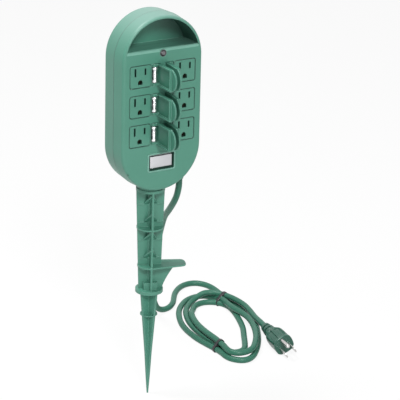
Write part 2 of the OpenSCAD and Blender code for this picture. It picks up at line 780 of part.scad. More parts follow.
// The pedal narrows from the disc to a rounded end, over a web whose edge curves in toward the flange
module pedal() {
  z = flange_z + pedal_rise;
  disc_r = disc_lip + post_low_r + (post_top_r - post_low_r) * pedal_rise / post_h;
  end_r = 6;
  end_x = pedal_reach - end_r;
  end_y = pedal_w / 2 - end_r;
  translate([0, 0, z - disc_t]) {
    cylinder(h = disc_t, r = disc_r);
    linear_extrude(disc_t) polygon(concat([[0, disc_r - eps], [0, eps - disc_r]],
      [for (a = [-75 : 15 : 0]) [end_x + end_r * cos(a), end_r * sin(a) - end_y]],
      [for (a = [0 : 15 : 75]) [end_x + end_r * cos(a), end_r * sin(a) + end_y]]));
  }
  steps = 6;
  upright(-rib_t / 2, rib_t / 2) polygon(concat([[0, z - eps], [0, flange_z - eps]],
    [for (k = [0 : steps]) let (u = k / steps)
      [flange_r - 1 + (web_reach - flange_r + 1) * pow(u, 1.3),
       flange_z - eps + (pedal_rise - disc_t / 2) * u]]));
}

spike_disc_z = spike_h * 0.775;

module spike_envelope() {
  cylinder(h = spike_mid_h, r1 = spike_tip_r, r2 = spike_mid_r);
  translate([0, 0, spike_mid_h]) cylinder(h = spike_h - spike_mid_h, r1 = spike_mid_r, r2 = spike_top_r);
}

module spike() color(green) turned() union() {
  intersection() {
    spike_envelope();
    rotate([0, 0, blade_turn]) union() {
      box([-far, far], [-blade_t / 2, blade_t / 2], [0, spike_h]);
      box([-blade_t / 2, blade_t / 2], [-far, far], [0, spike_h]);
      cylinder(h = spike_h, r = blade_t * 0.8);
    }
  }
  translate([0, 0, spike_disc_z]) cylinder(h = 1.2, r = disc_lip / 2
    + spike_mid_r + (spike_top_r - spike_mid_r) * (spike_disc_z - spike_mid_h) / (spike_h - spike_mid_h));
  translate([-spigot_w / 2, -spigot_w / 2, spike_h - 4]) cube([spigot_w, spigot_w, spigot_w + 4]);
}

// ---- Cord, its strain relief and its plug ----

sleeve_h = 15;
sleeve_low = gland_low - sleeve_h;

module strain_relief() color(dark_green) translate([gland_x, gland_y, 0]) difference() {
  union() {
    translate([0, 0, gland_low - 1]) cylinder(h = gland_h + 1 + run_gap, r = gland_r);
    translate([0, 0, gland_low - run_gap - 1.8]) cylinder(h = 1.8, r = gland_r + 1.4);
    translate([0, 0, sleeve_low]) cylinder(h = sleeve_h, r1 = cord_d / 2 + 1, r2 = gland_r);
    translate([0, 0, gland_low + gland_h + run_gap]) cylinder(h = 2, r = gland_r + 1.2);
  }
  for (k = [0 : 3]) translate([0, 0, sleeve_low + 2 + k * 3.1]) difference() {
    cylinder(h = 1.2, r = 9);
    translate([0, 0, -1]) cylinder(h = 4, r = cord_d / 2 + 0.7);
  }
}

lead_route = [
  [gland_x, gland_y, sleeve_low - 0.1], [gland_x, gland_y, 256], [42.5, 9, 249], [42.5, 13, 238],
  [43.5, 22, 226], [47, 38, 211], [53, 58, 195], [63, 82, 172], [74, 108, 144], [85, 134, 114],
  [96, 158, 83], [105, 174, 54], [112, 184, 33], [117.5, 189.5, 20], [123, 193, 11], [129.5, 195.5, 6],
  [137, 197.5, 3.8], [144, 199.5, 3.8], [151, 204.5, 3.8], [158.5, 212.5, 3.8], [166, 223.5, 3.8],
  [173, 233.5, 3.8], [181, 242.5, 3.8], [190, 250, 3.8], [200, 255, 3.8], [209.5, 256, 3.8],
  [218, 253, 3.8], [224, 246, 3.8], [227.5, 236.5, 3.8], [228.5, 226, 3.8], [228, 215, 3.8], [227, 200.5, 3.8]
];
tail_route = [
  [225.8, 172, 11.4], [226, 164, 11.4], [226.5, 147, 11.4], [223, 127, 11.4], [218, 106.5, 11.4],
  [214.5, 90, 12.4], [212.5, 80, plug_r], [211, 71.2, plug_r]
];

function unit(v) = v / norm(v);
function hermite(a, b, c, d, t) =
  b + t * (c - a) / 2 + t * t * (2 * a - 5 * b + 4 * c - d) / 2 + t * t * t * (3 * b - a - 3 * c + d) / 2;
function smooth(p, per) = concat([
  for (i = [0 : len(p) - 2], k = [0 : per - 1])
    hermite(p[max(i - 1, 0)], p[i], p[i + 1], p[min(i + 2, len(p) - 1)], k / per)
], [p[len(p) - 1]]);
function heading(p, i) = unit(p[min(i + 1, len(p) - 1)] - p[max(i - 1, 0)]);
function carried(p, i) = i == 0
  ? unit(cross(heading(p, 0), [0.3, 1, 0.2]))
  : let (u = carried(p, i - 1), t = heading(p, i)) unit(u - (u * t) * t);

module tube(route, per, d, sides) {
  p = smooth(route, per);
  rings = [for (i = [0 : len(p) - 1]) let (u = carried(p, i), v = cross(heading(p, i), u))
    for (k = [0 : sides - 1]) p[i] + d / 2 * (cos(360 * k / sides) * u + sin(360 * k / sides) * v)];
  last = (len(p) - 1) * sides;
  polyhedron(rings, concat(
    [[for (k = [0 : sides - 1]) k]],
    [for (i = [0 : len(p) - 2], k = [0 : sides - 1]) let (a = i * sides, n = (k + 1) % sides)
      [a + k, a + sides + k, a + n]],
    [for (i = [0 : len(p) - 2], k = [0 : sides - 1]) let (a = i * sides, n = (k + 1) % sides)
      [a + sides + k, a + sides + n, a + n]],
    [[for (k = [sides - 1 : -1 : 0]) last + k]]));
}

module cord_lead() color(dark_green) tube(lead_route, 2, cord_d, 10);
module cord_tail() color(dark_green) tube(tail_route, 2, cord_d, 10);

// The hank lies on the ground as a ring. Both outlines run anticlockwise from the right flank.
hank_points = [
  [209, 91], [213.5, 108], [217.5, 126], [221, 146], [221, 162], [226, 174.5], [230, 186], [224, 203.5],
  [212, 210], [196, 216], [178, 213.5], [160, 201], [143, 179], [130, 150], [123.7, 120], [124, 86],
  [127.5, 52], [133, 24], [150, 12.5], [168, 20], [186, 43], [200, 68]
];
hank_hole_points = [
  [192, 96], [200, 126], [206, 152], [205, 176], [197, 186], [182, 185], [170, 174], [159, 155], [153, 132],
  [150, 108], [149, 82], [147, 62], [155, 49], [168, 54], [180, 72]
];
// Where the two ties hold the strands together: place, direction across the strands, and width over them
ties = [[218.4, 186, 0, 23.4], [136.6, 61, 176, 16]];
tie_t = 0.7;
tie_w = 3;

// Point i of a closed curve through p, with per points from one corner to the next
function corner(p, i) = p[(i + len(p)) % len(p)];
function on_loop(p, i, per) = let (k = floor(i / per))
  hermite(corner(p, k - 1), corner(p, k), corner(p, k + 1), corner(p, k + 2), i / per - k);

module closed_curve(p, per) {
  polygon([for (i = [0 : len(p) * per - 1]) on_loop(p, i, per)]);
}

module at_tie(tie) {
  translate([tie[0], tie[1], 0]) rotate([0, 0, tie[2]]) children();
}

// The strands where a tie holds them, grown by a gap
module bundle(width, grow, long) {
  box([-width / 2 - grow, width / 2 + grow], [-long / 2, long / 2],
      [tie_t + run_gap - grow, hank_h - tie_t - run_gap + grow]);
}

module cord_hank() color(dark_green) difference() {
  linear_extrude(hank_h) difference() {
    closed_curve(hank_points, 3);
    closed_curve(hank_hole_points, 3);
  }
  for (tie = ties) at_tie(tie) difference() {
    box([-tie[3], tie[3]], [-tie_w / 2 - 1, tie_w / 2 + 1], [-1, hank_h + 1]);
    bundle(tie[3], 0, tie_w + 4);
  }
}

module cord_ties() color("#1d1d1f") for (tie = ties) at_tie(tie) difference() {
  bundle(tie[3], run_gap + tie_t, tie_w);
  bundle(tie[3], run_gap, tie_w + 2);
}

plug_start = [211, 71, plug_r];
plug_heading = -98.8;
plug_roll = 27;

module plug_frame() {
  translate(plug_start) rotate([0, 0, plug_heading]) rotate([plug_roll, 0, 0]) rotate([0, 90, 0]) children();
}

// Across the plug's face: the blades lie to one side of the middle and the ground pin to the other
blade_rise = 4.2;

plug_neck = 20;
plug_shoulder = 32;
neck_end_r = 6.6;

module plug_body() color(dark_green) plug_frame() difference() {
  union() {
    cylinder(h = plug_neck, r1 = cord_d / 2 + 1.4, r2 = neck_end_r);
    translate([0, 0, plug_neck]) cylinder(h = plug_shoulder - plug_neck, r1 = neck_end_r + 1, r2 = plug_r);
    translate([0, 0, plug_shoulder]) cylinder(h = plug_len - plug_shoulder, r = plug_r);
  }
  for (k = [0 : 2]) translate([0, 0, plug_neck * 0.3 + k * 4.4]) difference() {
    cylinder(h = 1.8, r = plug_r);
    translate([0, 0, -1]) cylinder(h = 4, r = cord_d / 2 + 0.9 + k * 0.4);
  }
}

module plug_blades() color(steel) plug_frame()
  for (s = [-1, 1]) difference() {
    translate([blade_rise - prong_w / 2, s * slot_pitch / 2 - prong_t / 2, plug_len])
      cube([prong_w, prong_t, prong_len]);
    translate([blade_rise, s * slot_pitch / 2 - prong_t, plug_len + prong_len - 4.3]) rotate([-90, 0, 0])
      cylinder(h = prong_t * 2, r = 1.6);
  }

module plug_ground_pin() color(steel) plug_frame() translate([blade_rise - ground_drop, 0, plug_len]) union() {
  cylinder(h = ground_pin_len - ground_pin_r, r = ground_pin_r);
  translate([0, 0, ground_pin_len - ground_pin_r]) sphere(r = ground_pin_r);
}

// ---- The nodes ----

front_shell();
rear_shell();
housing_gasket();
housing_screws();
outlet_face(1);  // outlet_face_1
outlet_face(2);  // outlet_face_2
outlet_face(3);  // outlet_face_3
outlet_face(4);  // outlet_face_4
outlet_face(5);  // outlet_face_5
outlet_face(6);  // outlet_face_6
lid(1);  // lid_1
lid(2);  // lid_2
lid(3);  // lid_3
lid(4);  // lid_4
lid(5);  // lid_5
lid(6);  // lid_6
hinge_pin(1);  // hinge_pin_1
hinge_pin(2);  // hinge_pin_2
hinge_pin(3);  // hinge_pin_3
hinge_pin(4);  // hinge_pin_4
hinge_pin(5);  // hinge_pin_5
hinge_pin(6);  // hinge_pin_6
lid_spring(1);  // lid_spring_1
lid_spring(2);  // lid_spring_2
lid_spring(3);  // lid_spring_3
lid_spring(4);  // lid_spring_4
lid_spring(5);  // lid_spring_5
lid_spring(6);  // lid_spring_6
contact_carrier(-1);  // contact_carrier_left
contact_carrier(1);  // contact_carrier_right
neutral_bus();
hot_bus();
ground_bus();
sensor_lens();
photocell();
circuit_board();
relay();
board_parts();
board_screws();
inner_leads();
button_cap();
button_spring();
button_switch();
post_socket();
post_retainer();
post();
spike();
strain_relief();
cord_lead();
cord_hank();
cord_tail();
cord_ties();
plug_body();
plug_blades();
plug_ground_pin();
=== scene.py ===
import json
import math

import bmesh
import bpy
from mathutils import Matrix, Vector


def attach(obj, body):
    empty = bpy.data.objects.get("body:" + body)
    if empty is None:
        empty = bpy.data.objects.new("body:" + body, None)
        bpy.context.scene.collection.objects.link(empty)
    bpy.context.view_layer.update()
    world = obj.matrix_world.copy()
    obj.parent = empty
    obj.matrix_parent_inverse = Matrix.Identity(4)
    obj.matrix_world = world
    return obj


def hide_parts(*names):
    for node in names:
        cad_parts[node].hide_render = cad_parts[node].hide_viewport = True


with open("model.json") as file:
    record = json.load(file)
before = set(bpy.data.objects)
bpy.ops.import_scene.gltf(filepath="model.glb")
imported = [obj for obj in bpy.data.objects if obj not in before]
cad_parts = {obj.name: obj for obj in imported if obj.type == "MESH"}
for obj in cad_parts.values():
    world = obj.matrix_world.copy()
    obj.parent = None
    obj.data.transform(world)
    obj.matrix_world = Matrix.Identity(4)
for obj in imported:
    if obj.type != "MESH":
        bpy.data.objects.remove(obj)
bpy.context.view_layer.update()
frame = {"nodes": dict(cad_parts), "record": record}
scene = bpy.context.scene
mm = 0.001
print("stage: frame loaded")

# The camera's place, its axes, its roll in degrees and its lens and sensor, all lengths in millimetres
# but for reach, how far it sees, in metres
cameraPlace = {
    "at": (-1115.6, -1944.0, 1084.7),
    "right": (0.8544, -0.5196, 0.0),
    "up": (0.1822, 0.2995, 0.9365),
    "forward": (0.4866, 0.8002, -0.3506),
    "roll": 1.41,
    "lens": 187.594,
    "sensor": 36,
    "reach": 30,
}


def makeCamera(place):
    roll = math.radians(place["roll"])
    right, up = Vector(place["right"]), Vector(place["up"])
    across = right * math.cos(roll) + up * math.sin(roll)
    upward = up * math.cos(roll) - right * math.sin(roll)
    turn = Matrix((across, upward, -Vector(place["forward"]))).transposed().to_4x4()
    lens = bpy.data.cameras.new("studioCamera")
    lens.lens = place["lens"]
    lens.sensor_width = place["sensor"]
    lens.clip_end = place["reach"]
    camera = bpy.data.objects.new("studioCamera", lens)
    camera.matrix_world = Matrix.Translation(Vector(place["at"]) * mm) @ turn
    scene.collection.objects.link(camera)
    scene.camera = camera


makeCamera(cameraPlace)
print("stage: camera")


# One value in a material's nodes. Python's operators add the Math nodes.
class Signal:
    def __init__(self, finish, socket):
        self.finish = finish
        self.socket = socket

    def math(self, operation, *values):
        return self.finish.node("ShaderNodeMath", {"operation": operation}, dict(enumerate(values)))

    def __add__(self, other):
        return self.math("ADD", self, other)

    def __sub__(self, other):
        return self.math("SUBTRACT", self, other)

    def __rsub__(self, other):
        return self.math("SUBTRACT", other, self)

    def __mul__(self, other):
        return self.math("MULTIPLY", self, other)

    def __truediv__(self, other):
        return self.math("DIVIDE", self, other)

    def __pow__(self, other):
        return self.math("POWER", self, other)

    def __gt__(self, other):
        return self.math("GREATER_THAN", self, other)

    def __lt__(self, other):
        return self.math("LESS_THAN", self, other)

    def __abs__(self):
        return self.math("ABSOLUTE", self)

    __radd__ = __add__
    __rmul__ = __mul__


# A node tree that makes its nodes and links in one call each
class Graph:
    def __init__(self, tree):
        self.tree = tree

    def feed(self, socket, value):
        if isinstance(value, Signal):
            self.tree.links.new(value.socket, socket)
        elif isinstance(value, (tuple, list)) and len(value) == 3 and socket.type == "RGBA":
            socket.default_value = (*value, 1)
        else:
            socket.default_value = value

    def node(self, kind, settings=None, sockets=None, out=0):
        made = self.tree.nodes.new(kind)
        for key, value in (settings or {}).items():
            setattr(made, key, value)
        for key, value in (sockets or {}).items():
            self.feed(made.inputs[key], value)
        return Signal(self, made.outputs[out])

    # 1 for rays from the camera and for those that a mirror or glass sends on
    def seen(self):
        rays = ("Camera", "Glossy", "Transmission")
        path = [self.node("ShaderNodeLightPath", out=f"Is {ray} Ray") for ray in rays]
        return self.clamp(path[0] + path[1] + path[2])

    def clamp(self, value):
        return self.node("ShaderNodeClamp", {}, {0: value})

    def mix(self, factor, first, second):
        sockets = {0: factor, 6: first, 7: second}
        return self.node("ShaderNodeMix", {"data_type": "RGBA"}, sockets, out=2)

    # Map Range, an underscore for each space in its sockets' names
    def mapped(self, value, **ends):
        sockets = {key.replace("_", " "): end for key, end in ends.items() if key != "kind"}
        settings = {"interpolation_type": ends.get("kind", "LINEAR")}
        return self.node("ShaderNodeMapRange", settings, {"Value": value, **sockets})


# A material on the Principled shader, with its fixed values set on the sockets
class Finish(Graph):
    def __init__(self, name, **fixed):
        self.material = bpy.data.materials.new(name)
        self.material.use_nodes = True
        super().__init__(self.material.node_tree)
        self.shader = self.tree.nodes["Principled BSDF"]
        for socket, value in fixed.items():
            self.feed(self.shader.inputs[socket.replace("_", " ")], value)
        self.place = self.node("ShaderNodeTexCoord", out="Object")

    def noise(self, size, detail):
        sockets = {"Vector": self.place, "Scale": 1 / size, "Detail": detail}
        return self.node("ShaderNodeTexNoise", {}, sockets)

    def between(self, low, high, signal):
        return self.mapped(signal, To_Min=low, To_Max=high)

    def axis(self, name):
        return self.node("ShaderNodeSeparateXYZ", {}, {0: self.place}, out=name)

    def rounded(self, radius):
        return self.node("ShaderNodeBevel", {"samples": 6}, {"Radius": radius})

    # 0 on a flat, towards 1 where the rounded normal leaves the face's own
    def edgeMask(self, roundedNormal, gain):
        flat = self.node("ShaderNodeNewGeometry", out="Normal")
        pair = {0: flat, 1: roundedNormal}
        along = self.node("ShaderNodeVectorMath", {"operation": "DOT_PRODUCT"}, pair, out="Value")
        return self.clamp((1 - along) * gain)

    def surface(self, **driven):
        for socket, value in driven.items():
            self.feed(self.shader.inputs[socket.replace("_", " ")], value)

    def bumpy(self, height, depth, normal=None):
        sockets = {"Strength": 1.0, "Distance": depth, "Height": height}
        if normal:
            sockets["Normal"] = normal
        self.surface(Normal=self.node("ShaderNodeBump", {}, sockets))
        return self.material


# Painted shade in what is cut into the face: grooves, slots, hinge pockets and the button's well
def paintedWellShade(made, deep):
    behind = (made.axis("Y") > deep["behind"]) * (made.axis("Y") < deep["before"])
    beside = abs(made.axis("X")) < deep["beside"]
    height = made.axis("Z")
    return behind * beside * (height > deep["over"]) * (height < deep["under"]) * deep["amount"]


# The shade that gathers at the upper right of the recess under the hood
def underHood(made, hood):
    across, height = made.axis("X"), made.axis("Z") - hood["centre"]
    inside = ((across * across) + (height * height)) ** 0.5 < hood["radius"]
    deep = made.axis("Y") > hood["behind"]
    lean = (across * hood["lean"][0] + height * hood["lean"][1]) / hood["radius"]
    ramp = made.mapped(lean, kind="SMOOTHSTEP", From_Min=hood["from"], From_Max=hood["to"],
                       To_Max=hood["amount"])
    return inside * deep * (made.axis("Y") < hood["before"]) * ramp


# Painted shade: the dark line round each outlet's frame, where the frame's edge shadows the face
def frameShadeLine(made, line):
    half, corner, pitch = line["half"], line["corner"], line["pitch"]
    across = abs(abs(made.axis("X")) - line["column"]) - (half[0] - corner)
    height = made.axis("Z") - line["middle"]
    row = height.math("WRAP", height, pitch / 2, -pitch / 2)
    up = abs(row) - (half[1] - corner)
    out = [side.math("MAXIMUM", side, 0) for side in (across, up)]
    away = ((out[0] * out[0]) + (out[1] * out[1])) ** 0.5 - corner
    onLine = abs(away - line["wide"] / 2) < line["wide"] / 2
    inRows = abs(height) < pitch * line["rows"] / 2
    return onLine * inRows * (made.axis("Y") < line["before"]) * line["amount"]


# A painted highlight on the rounded front edge of the shelf under the hood
def shelfHighlight(made, shelf):
    height = made.axis("Z")
    band = (height > shelf["from"]) * (height < shelf["to"])
    front = (made.axis("Y") < shelf["before"]) * (abs(made.axis("X")) < shelf["beside"])
    return band * front * shelf["amount"]


# A pale painted sheen where the top of the hood faces up
def topSheen(made, dustAndSheen):
    normal = made.node("ShaderNodeNewGeometry", out="Normal")
    up = made.node("ShaderNodeSeparateXYZ", {}, {0: normal}, out="Z")
    high = made.mapped(made.axis("Z"), From_Min=dustAndSheen["from"], From_Max=dustAndSheen["to"])
    return made.clamp(up) * high * dustAndSheen["amount"]


# Moulded plastic: fine grain, a little mottling, rounded edges made lighter, partly as rubbed wear and
# partly as a painted highlight
def mouldedPlastic(name, look):
    made = Finish(name, IOR=1.46)
    mottle = made.noise(look["mottle"], 3)
    grain = made.noise(look["grain"], 2)
    soft = made.rounded(look["edge"])
    wearAndHighlight = made.edgeMask(soft, look["wearAndHighlightGain"])
    colour = made.mix(mottle, look["dark"], look["light"])
    # Lighter along the edges: rubbed wear and a painted highlight
    colour = made.mix(wearAndHighlight, colour, look["wearAndHighlightColour"])
    if "seam" in look:
        seam = look["seam"]
        gap = abs(made.axis("Y") - seam["at"]) < seam["half"]
        colour = made.mix(gap * seam["amount"], colour, look["shade"])
    # Painted shade in the cuts in the face
    if "deep" in look:
        colour = made.mix(paintedWellShade(made, look["deep"]), colour, look["shade"])
    if "hood" in look:
        colour = made.mix(underHood(made, look["hood"]), colour, look["shade"])
    # A pale painted sheen on the top of the hood
    if "dustAndSheen" in look:
        colour = made.mix(topSheen(made, look["dustAndSheen"]), colour, look["dustAndSheen"]["colour"])
    # Painted shade round the outlet frames
    if "line" in look:
        colour = made.mix(frameShadeLine(made, look["line"]), colour, look["shade"])
    # A painted highlight on the shelf's front edge
    if "shelf" in look:
        colour = made.mix(shelfHighlight(made, look["shelf"]), colour, look["wearAndHighlightColour"])
    # A painted highlight on what stands proud of the face, such as the raised rims
    if "proud" in look:
        proud = look["proud"]
        colour = made.mix((made.axis("Y") < proud["before"]) * proud["amount"], colour, look["wearAndHighlightColour"])
    made.surface(Base_Color=colour, Roughness=made.between(*look["rough"], grain))
    return made.bumpy(grain, look["relief"], soft)


green = {
    "dark": (0.056, 0.200, 0.141),
    "light": (0.072, 0.235, 0.172),
    "wearAndHighlightColour": (0.22, 0.44, 0.36),
    "shade": (0.02, 0.06, 0.045),
    "mottle": 0.04,
    "grain": 0.0005,
    "edge": 0.0006,
    "wearAndHighlightGain": 1.6,
    "rough": (0.34, 0.50),
    "relief": 0.00002,
}
# Places and sizes in the materials are in metres
# Where shade is painted into the cuts in the face
wellShade = {"behind": -0.0231, "before": -0.012, "beside": 0.043, "over": 0.288, "under": 0.416, "amount": 0.82}
headMarks = {
    "seam": {"at": -0.0046, "half": 0.0004, "amount": 0.85},
    "deep": wellShade,
    "hood": {"centre": 0.4183, "radius": 0.0482, "behind": -0.0225, "before": 0.0085,
             "lean": (0.75, 0.66), "from": 0.15, "to": 0.95, "amount": 0.85},
    "dustAndSheen": {"from": 0.425, "to": 0.468, "amount": 0.28, "colour": (0.42, 0.52, 0.51)},
    "line": {"column": 0.0285, "middle": 0.3678, "pitch": 0.0346, "rows": 3, "half": (0.0133, 0.0129),
             "corner": 0.0025, "wide": 0.0006, "before": -0.0234, "amount": 0.8},
    "shelf": {"from": 0.4284, "to": 0.4314, "before": -0.0204, "beside": 0.0455, "amount": 0.5},
    "proud": {"before": -0.0237, "amount": 0.45},
    "edge": 0.0009,
    "wearAndHighlightGain": 2.6,
}
# The covers are painted a darker green than the head for the shade they stand in, and their edges are
# lightened more, partly as wear and partly as a painted highlight
coverShadeLook = {
    "dark": (0.040, 0.165, 0.112),
    "light": (0.052, 0.192, 0.136),
    "wearAndHighlightColour": (0.30, 0.56, 0.47),
    "edge": 0.0007,
    "wearAndHighlightGain": 3.0,
}
plugLook = {
    "dark": (0.016, 0.082, 0.055),
    "light": (0.024, 0.100, 0.070),
    "wearAndHighlightColour": (0.12, 0.32, 0.26),
    "rough": (0.28, 0.42),
    "edge": 0.0005,
}
headGreen = mouldedPlastic("greenHead", {**green, **headMarks})
coverShadedGreen = mouldedPlastic("greenCoverShaded", {**green, **coverShadeLook})
# The outlet faces, with painted shade in their slots and holes
faceGreen = mouldedPlastic("greenFace", {**green, "deep": {**wellShade, "behind": -0.0229, "amount": 0.95}})
stakeGreen = mouldedPlastic("greenStake", {**green, "mottle": 0.03})
plugGreen = mouldedPlastic("greenPlug", {**green, **plugLook})

vinyl = {
    "dark": (0.020, 0.120, 0.076),
    "light": (0.034, 0.150, 0.100),
    "mottle": 0.03,
    "dustAndSheen": 0.0009,
    "rough": (0.34, 0.52),
    "coat": (0.0, 0.08),
    "relief": 0.00003,
}


def cordVinyl(name, look):
    made = Finish(name, Coat_Roughness=0.2, IOR=1.38)
    mottle = made.noise(look["mottle"], 3)
    dustAndSheen = made.noise(look["dustAndSheen"], 3)
    made.surface(
        Base_Color=made.mix(mottle, look["dark"], look["light"]),
        Roughness=made.between(*look["rough"], dustAndSheen),
        Coat_Weight=made.between(*look["coat"], mottle),
    )
    return made.bumpy(dustAndSheen, look["relief"])


# dark and rough are shares of the colour and the roughness that a metal is given
metalLook = {"dark": 0.86, "rough": (0.7, 1.3), "edge": 0.0002, "relief": 0.000006}


# Metal, with a fine grain in its colour, its gloss and its surface
def metal(name, colour, rough, size=0.0002):
    made = Finish(name, Metallic=1.0)
    grain = made.noise(size, 4)
    soft = made.rounded(metalLook["edge"])
    dark = tuple(c * metalLook["dark"] for c in colour)
    low, high = (rough * share for share in metalLook["rough"])
    made.surface(Base_Color=made.mix(grain, dark, colour), Roughness=made.between(low, high, grain))
    return made.bumpy(grain, metalLook["relief"], soft)


# A pale window, a dark ring and the rim, on a lens whose axis runs along Y
def ringedLens(name, look):
    made = Finish(name, Roughness=0.16, Coat_Weight=0.4)
    out = ((made.axis("X") ** 2) + ((made.axis("Z") - look["height"]) ** 2)) ** 0.5
    colour = made.mix(out > look["window"], look["pale"], look["dark"])
    colour = made.mix(out > look["ring"], colour, look["rim"])
    made.surface(Base_Color=colour)
    return made.material


# rough is a share of the roughness that each is given
plainLook = {"broad": 0.01, "grain": 0.0006, "rough": (0.8, 1.2), "edge": 0.0003, "relief": 0.00002}


# Any other plastic, rubber or board
def plain(name, dark, light, rough):
    made = Finish(name)
    fine = made.noise(plainLook["grain"], 3)
    broad = made.noise(plainLook["broad"], 2)
    low, high = (min(rough * share, 1) for share in plainLook["rough"])
    made.surface(Base_Color=made.mix(broad, dark, light), Roughness=made.between(low, high, fine))
    return made.bumpy(fine, plainLook["relief"], made.rounded(plainLook["edge"]))


sensorLens = {
    "height": 0.4263,
    "window": 0.0021,
    "ring": 0.0040,
    "pale": (0.12, 0.115, 0.125),
    "dark": (0.012, 0.014, 0.015),
    "rim": (0.10, 0.22, 0.18),
}

# The finish for each material slot of the record
finishes = {
    "green_plastic": headGreen,
    "spring_steel": metal("springSteel", (0.93, 0.93, 0.95), 0.24),
    "steel": metal("steel", (0.62, 0.63, 0.66), 0.3),
    "carrier_plastic": plain("carrierPlastic", (0.010, 0.012, 0.012), (0.022, 0.024, 0.024), 0.6),
    # The brass contacts are painted far darker than brass, for the shade inside the outlet holes
    "brass": metal("brass", (0.12, 0.09, 0.05), 0.5),
    "cord_vinyl": cordVinyl("cordVinyl", vinyl),
    "nickel_blades": metal("nickelBlades", (0.62, 0.61, 0.60), 0.3),
    "tie_vinyl": plain("tieVinyl", (0.010, 0.011, 0.012), (0.022, 0.023, 0.025), 0.35),
    "gasket_rubber": plain("gasketRubber", (0.012, 0.012, 0.012), (0.03, 0.03, 0.03), 0.8),
    "lens": ringedLens("sensorLens", sensorLens),
    "photocell": plain("photocell", (0.35, 0.28, 0.33), (0.45, 0.38, 0.43), 0.4),
    "circuit_board": plain("circuitBoard", (0.01, 0.08, 0.03), (0.02, 0.12, 0.05), 0.35),
    "component_plastic": plain("componentPlastic", (0.02, 0.05, 0.18), (0.04, 0.08, 0.24), 0.4),
    "lead_insulation": plain("leadInsulation", (0.10, 0.10, 0.11), (0.22, 0.22, 0.22), 0.4),
    "silver_panel": metal("silverPanel", (0.66, 0.67, 0.69), 0.42, 0.0006),
}
print("stage: materials")


def addPiece(name, data, body, slotName, finish=None, replaced=()):
    piece = bpy.data.objects.new(name, data)
    scene.collection.objects.link(piece)
    data.materials.append(finish or finishes[slotName])
    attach(piece, body)
    if replaced:
        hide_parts(*replaced)
    return piece


def addMesh(name, shape, body, slotName, finish=None, replaced=(), sharp=34):
    mesh = bpy.data.meshes.new(name)
    shape.to_mesh(mesh)
    shape.free()
    mesh.shade_smooth()
    mesh.set_sharp_from_angle(angle=math.radians(sharp))
    return addPiece(name, mesh, body, slotName, finish, replaced)


# A half section (radius, height) spun round Z
def turned(section, steps):
    shape = bmesh.new()
    points = [shape.verts.new((r * mm, 0, z * mm)) for r, z in section]
    lines = [shape.edges.new(pair) for pair in zip(points, points[1:])]
    bmesh.ops.spin(shape, geom=points + lines, cent=(0, 0, 0), axis=(0, 0, 1), angle=2 * math.pi,
                   steps=steps, use_merge=True)
    bmesh.ops.remove_doubles(shape, verts=shape.verts, dist=1e-6)
    bmesh.ops.recalc_face_normals(shape, faces=shape.faces)
    return shape


# The edges or faces that vertices touch, each once, in the order of the vertices
def touching(verts, links):
    return list(dict.fromkeys(part for v in verts for part in getattr(v, links)))


# Whether both ends of an edge lie at one place along an axis
def level(edge, axis):
    return abs((edge.verts[0].co - edge.verts[1].co)[axis]) < 1e-7


def bevelEdges(shape, edges, offset, segments=3):
    bmesh.ops.bevel(shape, geom=edges, offset=offset * mm, segments=segments, profile=0.5,
                    affect="EDGES", material=-1)


# A box in millimetres, its edges along Y rounded by corner and those round its two ends by rim
def addSlab(shape, low, high, corner=0.0, rim=0.0):
    made = bmesh.ops.create_cube(shape, size=1)["verts"]
    size = Vector(high) - Vector(low)
    bmesh.ops.scale(shape, vec=size * mm, verts=made)
    bmesh.ops.translate(shape, vec=(Vector(low) + size / 2) * mm, verts=made)

    def isEnd(face):
        return abs(face.normal.y) > 0.9

    if corner:
        bevelEdges(shape, [e for e in touching(made, "link_edges") if not level(e, 1)], corner, 6)
    if rim:
        flat = [e for e in shape.edges if level(e, 1)]
        bevelEdges(shape, [e for e in flat if {isEnd(f) for f in e.link_faces} == {True, False}], rim)


# A curve with a round section through points in millimetres
def tube(name, points, diameter, body, slotName, sides, detail, replaced=()):
    line = bpy.data.curves.new(name, "CURVE")
    line.dimensions = "3D"
    line.bevel_depth = diameter / 2 * mm
    line.bevel_resolution = sides
    line.resolution_u = detail
    line.use_fill_caps = True
    spline = line.splines.new("BEZIER")
    last = len(points) - 1
    spline.bezier_points.add(last)
    for i, point in enumerate(spline.bezier_points):
        before, after = points[max(i - 1, 0)], points[min(i + 1, last)]
        lean = (Vector(after) - Vector(before)) / 6 * mm
        point.co = Vector(points[i]) * mm
        point.handle_left = point.co - lean
        point.handle_right = point.co + lean
    return addPiece(name, line, body, slotName, replaced=replaced)


